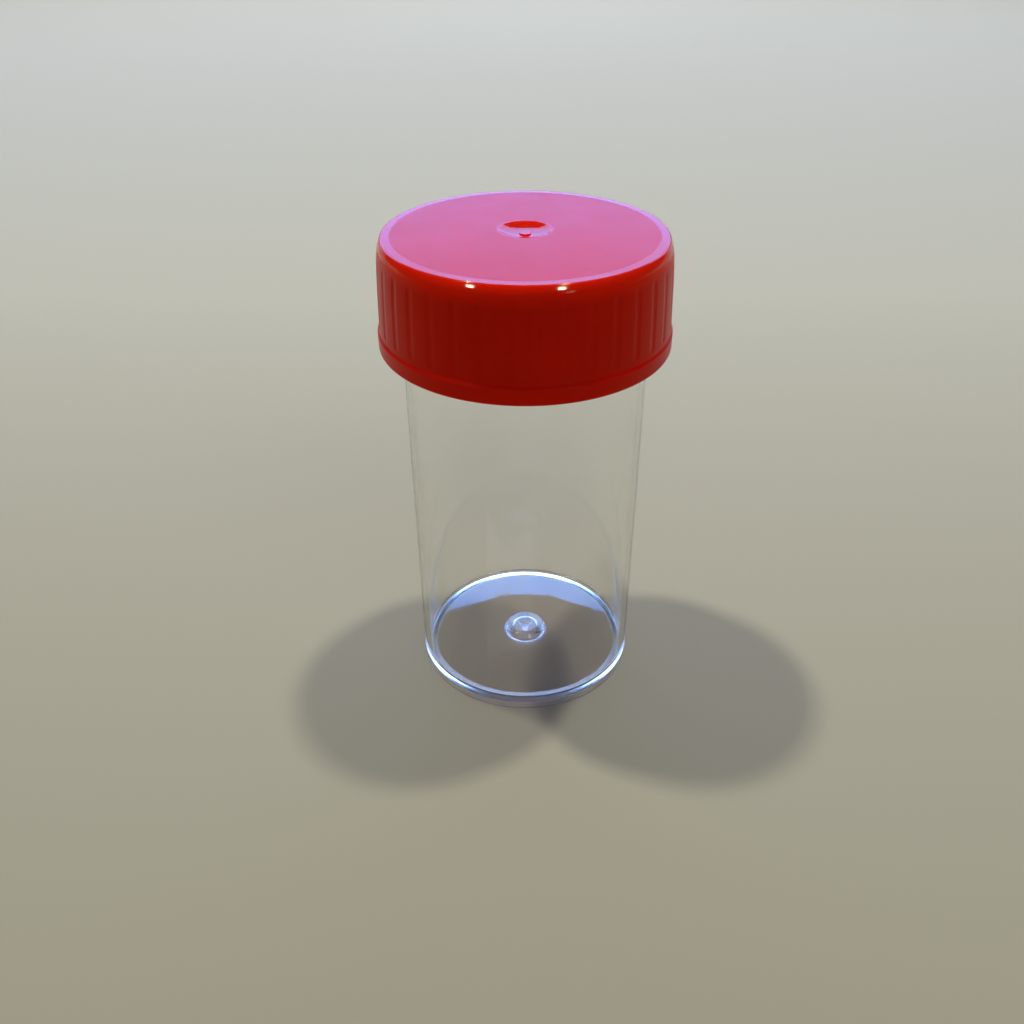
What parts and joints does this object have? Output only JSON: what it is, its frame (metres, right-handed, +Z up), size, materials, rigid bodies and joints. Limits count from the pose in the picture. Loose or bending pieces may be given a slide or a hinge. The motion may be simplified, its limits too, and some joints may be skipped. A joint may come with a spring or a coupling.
{
  "type": "sample tube",
  "caption": "Clear straight-walled sample tube with a flat foot and a screw cap with a grooved grip, sealed by a soft wad under the cap.",
  "frame": {"origin": "on the tube's axis, on the surface that the foot ring stands on", "axes": "+Z up along the axis of the tube and the cap; -Y is the side that faces the viewer; +X is to the viewer's right"},
  "size_m": [0.0414, 0.0414, 0.0725],
  "materials": {
    "clear_polystyrene": "water-clear polystyrene, polished inside and out",
    "red_polyethylene": "moulded polyethylene, glossy side and edge, fine matt grain on the middle of the top",
    "wad_foam": "fine closed-cell polyethylene foam with a smooth skin"
  },
  "bodies": {
    "tube": {"tube": "clear_polystyrene"},
    "wad": {"sealing_wad": "wad_foam"},
    "cap": {"screw_cap": "red_polyethylene"}
  },
  "joints": [
    {"name": "cap_rise", "type": "slide", "parent": "tube", "child": "wad", "axis": [0, 0, 1], "range_m": [0, 0.016]},
    {"name": "cap_turn", "type": "hinge", "parent": "wad", "child": "cap", "pos_m": [0, 0, 0.07], "axis": [0, 0, 1], "range_deg": [0, 1440]}
  ],
  "couplings": [
    {"joint": "cap_rise", "follows": "cap_turn", "m_per_rad": 0.00063662}
  ]
}
